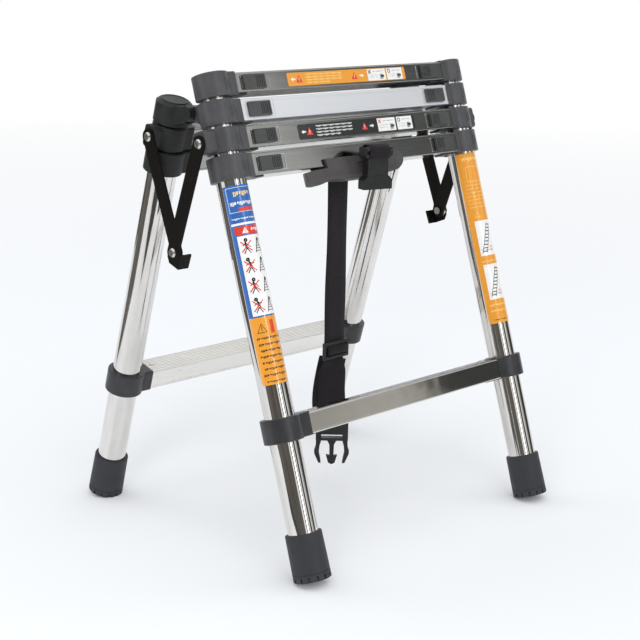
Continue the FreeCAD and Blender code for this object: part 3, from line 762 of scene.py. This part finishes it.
def make_right_leg_label():
    """Orange panel with a triangle, rows and two small leaning ladders."""
    art = Print(tube_surface(FRONT, HALF_WIDTH, TUBE_RADIUS), 0.0016)
    left, right = -0.0255, 0.0250
    art.box(left, 0.2525, right, 0.4935, "orange", 0, 0.0030)
    rows(art, left + 0.0080, 0.0080, 0.4810, 0.4880, 1, "cream", 1, 0.0048, 5)
    art.frame(left + 0.0100, 0.4530, 0.0060, 0.4740, 0.0006, "cream", 1)
    for k in range(7):
        v = 0.4480 - k * 0.0052
        rows(art, left + 0.0060, 0.0110, v - 0.0010, v + 0.0010, 1, "cream", 1, 0.0012, k + 2)
    art.triangle(-0.0110, 0.4060, 0.0090, "cream", 1)
    art.triangle(-0.0110, 0.4060, 0.0070, "orange", 2)
    for low, high in ((0.3480, 0.3975), (0.2860, 0.3355)):
        art.box(-0.0172, low, right, high, "white", 1)
        art.line((-0.0140, low + 0.0040), (0.0000, high - 0.0040), 0.0008, "black", 2)
        art.line((-0.0075, low + 0.0040), (0.0055, high - 0.0060), 0.0008, "black", 2)
        for step in range(9):
            share = (step + 0.5) / 9
            u = -0.0140 + 0.0140 * share
            v = low + 0.0040 + (high - low - 0.0080) * share
            art.line((u, v), (u + 0.0064, v - 0.0004), 0.0013, "black", 3)
        art.line((-0.0150, low + 0.0090), (0.0040, low + 0.0060), 0.0006, "grey", 2)
        art.ring(0.0010, low + 0.0100, 0.0030, 0.0022, "red", 2)
    rows(art, left + 0.0080, 0.0060, 0.3380, 0.3420, 1, "cream", 1, 0.0022, 6)
    rows(art, left + 0.0060, 0.0060, 0.2660, 0.2820, 2, "cream", 1, 0.0026, 7)
    rows(art, left + 0.0080, 0.0060, 0.2555, 0.2590, 1, "black", 1, 0.0014, 8)
    art.make("right_leg_label", "front_base")


def make_rung_label(name, t, body, ground, print_ink, half_height):
    """A panel on a front rung: arrows, two warning triangles, rows and two squares."""
    art = Print(rung_surface(FRONT, t, -1, RUNG_FACE), 0.05)
    h = half_height
    art.box(-0.1050, -h, 0.1130, h, ground, 0, 0.0022)
    art.arrow(-0.0955, 0, 0.0080, -1, "white", 1)
    art.warning(-0.0850, 0, 0.0110, "red", "white", 1)
    rows(art, -0.0730, -0.0080, -h * 0.82, h * 0.82, 4, print_ink, 1, 0.0021, 3)
    art.warning(0.0150, 0, 0.0110, "red", "white", 1)
    art.arrow(0.0290, 0, 0.0080, 1, "white", 1)
    for k, (u0, u1) in enumerate(((0.0400, 0.0745), (0.0775, 0.1075))):
        art.box(u0, -h * 0.9, u1, h * 0.9, "white", 1)
        rows(art, u0 + 0.0110, u1 - 0.0030, h * 0.25, h * 0.75, 1, "grey", 2, 0.0012, k)
        art.box(u1 - 0.0110, -h * 0.7, u1 - 0.0050, h * 0.05, "grey", 2)
        art.box(u1 - 0.0095, -h * 0.4, u1 - 0.0030, -h * 0.1, "black", 3)
        rows(art, u0 + 0.0030, u1 - 0.0140, -h * 0.55, h * 0.1, 2, "grey", 2, 0.0008, k + 3)
    art.cross(0.0445, h * 0.48, 0.0050, 0.0012, "red" if ground == "black" else "black", 2)
    art.ring(0.0820, h * 0.48, 0.0028, 0.0018, "black", 2)
    art.make(name, body)


make_left_leg_label()
make_right_leg_label()
make_rung_label("top_rung_label", FRONT_STACK_T + 3 * FRONT_PITCH, "front_top", "orange", "cream", 0.0085)
make_rung_label("third_rung_label", FRONT_STACK_T + FRONT_PITCH, "front_third", "black", "white", 0.0096)


# Trim ---------------------------------------------------------------------
def raised_rim(name, place, outer, inner, radius, rise, material, body):
    """A low rim with sloped flanks; place maps (u, v, height) to a point."""
    steps = ((*outer, radius, 0.0), (outer[0] - rise, outer[1] - rise, radius, rise),
             (inner[0] + rise, inner[1] + rise, radius * 0.6, rise), (*inner, radius * 0.6, 0.0))
    loops = [(rounded_loop(-w / 2, -h / 2, w / 2, h / 2, r), height) for w, h, r, height in steps]
    vertices = [place(u, v, height) for loop, height in loops for u, v in loop]
    faces = ring_faces(len(loops), len(loops[0][0]))
    make_piece(name, vertices, faces, [material], body, smooth=False)


SIDES = (("left", -1), ("right", 1))
CAP_RISE = 0.014                        # from the K1 level up to the cap's top
RIVET_X = 0.1715
RIVET_RISE = 0.0139                     # from a low rung's middle to just below its rib tops
LATCH_RIM_X = 0.1590                    # middle of a latch button's run
LATCH_RUN = (0.0434, 0.0184)            # room inside the rim for the button and its travel
LEVEL_BODIES = {"f4": "front_base", "f3": "front_third", "f2": "front_second", "f1": "front_top",
                "k2": "back_middle", "k3": "back_base"}


def level_place(level):
    """Frame, distance along the leg and facing side of a stacked rung."""
    number = int(level[1])
    if level[0] == "f":
        return FRONT, FRONT_STACK_T + (4 - number) * FRONT_PITCH, -1
    return BACK, BACK_STACK_T + (3 - number) * BACK_PITCH, 1


def turned_points(matrix, centre, profile, count):
    """Points of a turned form: rings (radius, height) about a centre on a leg's frame."""
    x, y, z = centre
    return [matrix @ Vector((x + across, y + up, z + height))
            for radius, height in profile for across, up in circle(radius, count)]


def make_latch_trim():
    """A low metal rim round the run of each latch button."""
    for level, body in LEVEL_BODIES.items():
        matrix, t, face = level_place(level)
        surface = rung_surface(matrix, t, face, RUNG_FACE)
        outer = (0.0456, 0.0186 if level == "f1" else 0.0202)
        metal = "satin_rung" if level == "f2" else "lip"
        for side_name, side in SIDES:
            def place(u, v, rise, side=side):
                return surface(side * LATCH_RIM_X + u, v, rise)

            raised_rim(level + "_latch_rim_" + side_name, place, outer, LATCH_RUN, 0.0022, 0.0005,
                       metal, body)


def make_cap_discs():
    """A shallow round lid with a rim on each back cap."""
    top = BACK_STACK_T + 2 * BACK_PITCH + CAP_RISE
    profile = [(0.0146, 0.0007), (0.0152, 0.0013), (0.0168, 0.0013), (0.0174, 0.0006), (0.0176, -0.0006)]
    count = 48
    faces = ring_faces(len(profile), count) + [tuple(range(count))]
    for side_name, side in SIDES:
        vertices = turned_points(BACK, (side * HALF_WIDTH, 0.0, top), profile, count)
        make_piece("cap_disc_" + side_name, vertices, faces, ["cap"], "back_top",
                   smooth=False)


def make_rung_rivets():
    """Domed rivets through the top of the low rungs near their collars."""
    profile = [(0.0038, 0.0), (0.0038, 0.0006), (0.0030, 0.0013), (0.0016, 0.0017), (0.0004, 0.0018)]
    count = 24
    faces = ring_faces(len(profile), count) + [last_ring(len(profile), count)]
    for prefix, matrix, low_t in (("back", BACK, BACK_LOW_T), ("front", FRONT, FRONT_LOW_T)):
        for side_name, side in SIDES:
            vertices = turned_points(matrix, (side * RIVET_X, 0.0, low_t + RIVET_RISE), profile, count)
            make_piece("%s_rung_rivet_%s" % (prefix, side_name), vertices, faces, ["rivet"],
                       prefix + "_base")


def make_collar_keys():
    """Small raised keys moulded on the front collars, one on each."""
    offset, sink = 0.0050, 0.0002
    for level, radius in (("f1", 0.0225), ("f2", 0.0225), ("f3", 0.0225), ("f4", 0.0250)):
        matrix, t, _ = level_place(level)
        for side_name, side in SIDES:
            surface = tube_surface(matrix, side * HALF_WIDTH, radius)

            def place(u, v, rise, surface=surface, t=t):
                return surface(offset + u, t + v, rise - sink)

            raised_rim("%s_collar_key_%s" % (level, side_name), place, (0.0062, 0.0140), (0.0034, 0.0112),
                       0.0012, 0.0007, "collar", LEVEL_BODIES[level])


make_latch_trim()
make_cap_discs()
make_rung_rivets()
make_collar_keys()


# Stage --------------------------------------------------------------------
def glow_material(name, color, strength=1.0):
    """A plain even glow."""
    material = bpy.data.materials.new(name)
    material.use_nodes = True
    nodes = material.node_tree.nodes
    nodes.clear()
    glow = nodes.new("ShaderNodeEmission")
    glow.inputs["Color"].default_value = (*color, 1)
    glow.inputs["Strength"].default_value = strength
    out = nodes.new("ShaderNodeOutputMaterial")
    material.node_tree.links.new(glow.outputs["Emission"], out.inputs["Surface"])
    return material


def banded_glow(name, dark, light, bands):
    """A glow with soft upright bands, like shelves and doors in a dim room."""
    m = Material(name)
    noise = m.noise(m.stretched((1.0, 0.12, 1.0)), bands, 4.0, 0.6)
    middle = tuple(0.6 * a + 0.4 * b for a, b in zip(dark, light))
    tone = m.ramp(noise, [(0.36, dark), (0.50, middle), (0.66, light)])
    m.set(color=(0.0, 0.0, 0.0), specular=0.0, roughness=1.0)
    m.link(tone, m.shader.inputs["Emission Color"])
    m.shader.inputs["Emission Strength"].default_value = 1.0
    return m.material


def rectangle(name, half_width, half_height):
    """A flat rectangle about the origin, as a mesh."""
    w, h = half_width, half_height
    mesh = bpy.data.meshes.new(name)
    mesh.from_pydata([(-w, -h, 0), (w, -h, 0), (w, h, 0), (-w, h, 0)], [], [(0, 1, 2, 3)])
    return mesh


def gloss_only(name, mesh, material):
    """An object that shows in reflections and nowhere else."""
    piece = bpy.data.objects.new(name, mesh)
    piece.data.materials.append(material)
    piece.visible_camera = False
    piece.visible_diffuse = False
    piece.visible_shadow = False
    return piece


def make_floor():
    """A white sweep: matt near the ladder, glowing white far away."""
    mesh = rectangle("floor", 60.0, 60.0)
    floor = bpy.data.objects.new("floor", mesh)
    m = Material("floor_white")
    reach = m.node("ShaderNodeVectorMath", operation="LENGTH")
    m.link(m.coordinates, reach.inputs[0])
    far = m.spread(reach.outputs["Value"], 0.0, 1.0, 1.3, 5.0)
    m.set(color=m.mix(far, FLOOR_NEAR, (0.0, 0.0, 0.0)), roughness=0.9, specular=0.0)
    m.shader.inputs["Emission Color"].default_value = (1.0, 1.0, 1.0, 1)
    m.link(m.spread(reach.outputs["Value"], 0.07, 1.0, 1.3, 5.0), m.shader.inputs["Emission Strength"])
    floor.data.materials.append(m.material)
    bpy.context.collection.objects.link(floor)


def card(name, centre, width, height, material):
    """An upright card facing the middle of the ladder, seen only in gloss."""
    centre = Vector(centre)
    piece = gloss_only(name, rectangle(name, width / 2, height / 2), material)
    piece.location = centre
    aim = Vector((0, 0, 0.35)) - centre
    piece.rotation_euler = aim.to_track_quat("Z", "Y").to_euler()
    bpy.context.collection.objects.link(piece)


def floor_card(name, corners, material):
    """A patch just above the floor, seen only in gloss."""
    mesh = bpy.data.meshes.new(name)
    mesh.from_pydata([(x, y, 0.001) for x, y in corners], [], [tuple(range(len(corners)))])
    piece = gloss_only(name, mesh, material)
    bpy.context.collection.objects.link(piece)


def around(azimuth, distance, z):
    """A place round the ladder; azimuth 0 is in front (-Y), 90 is at +X."""
    a = math.radians(azimuth)
    return (math.sin(a) * distance, -math.cos(a) * distance, z)


def area_light(name, place, size, power):
    """A round soft light aimed at the ladder, kept out of reflections."""
    data = bpy.data.lights.new(name, "AREA")
    data.shape = "DISK"
    data.size = size
    data.energy = power
    light = bpy.data.objects.new(name, data)
    light.location = place
    light.rotation_euler = (Vector((0, 0, 0.25)) - Vector(place)).to_track_quat("-Z", "Y").to_euler()
    light.visible_glossy = False
    bpy.context.collection.objects.link(light)


def make_stage():
    """Floor, cards for the metal to mirror, lights and a pale world."""
    make_floor()
    room = banded_glow("card_room", (0.055, 0.050, 0.044), (0.24, 0.225, 0.205), 16.0)
    dark = glow_material("card_dark", (0.075, 0.078, 0.076))
    dim = banded_glow("card_dim", (0.26, 0.25, 0.235), (0.42, 0.41, 0.39), 6.0)
    pale = banded_glow("card_pale", (0.37, 0.36, 0.335), (0.54, 0.525, 0.50), 6.0)
    card("card_camera", around(-41, 2.6, 0.9), 1.76, 1.8, room)
    card("card_camera_left", (-1.17, -0.36, 0.45), 0.80, 0.9, room)
    card("card_front_dim", around(-4, 2.5, 0.8), 0.9, 1.6, dim)
    card("card_strip", around(-4, 2.4, 0.8), 0.16, 1.5, glow_material("card_bright", (1.0, 1.0, 1.0), 8.0))
    card("card_front", around(20, 2.5, 0.8), 0.62, 1.6, dark)
    card("card_right_dim", around(39.4, 2.9, 0.45), 0.62, 0.9, pale)
    card("card_right_low", around(61, 3.0, 0.42), 1.68, 0.90,
         glow_material("card_black", (0.052, 0.054, 0.052)))
    card("card_right_high", around(61, 3.05, 1.6), 1.68, 1.45,
         glow_material("card_grey", (0.17, 0.18, 0.18)))
    card("card_left", (-0.75, 0.665, 0.45), 0.73, 0.9, room)
    floor_card("card_floor", ((-0.66, -0.12), (-0.66, -0.9), (-1.6, -1.3), (-1.6, -0.05)), dark)
    card("card_back", around(190, 2.6, 0.9), 1.2, 2.0, dark)
    area_light("key", (-1.2, -2.2, 3.2), 2.0, 17)
    area_light("fill", (2.6, -1.6, 2.4), 2.0, 8)
    area_light("front", around(-58, 2.6, 1.2), 0.7, 13)
    area_light("rim", (-1.0, 2.8, 2.8), 2.2, 12)
    world = bpy.data.worlds.new("studio")
    world.use_nodes = True
    background = world.node_tree.nodes["Background"]
    background.inputs["Color"].default_value = (0.97, 0.985, 1.0, 1)
    background.inputs["Strength"].default_value = 1.0
    bpy.context.scene.world = world
    bpy.context.scene.view_settings.view_transform = "Standard"


make_stage()
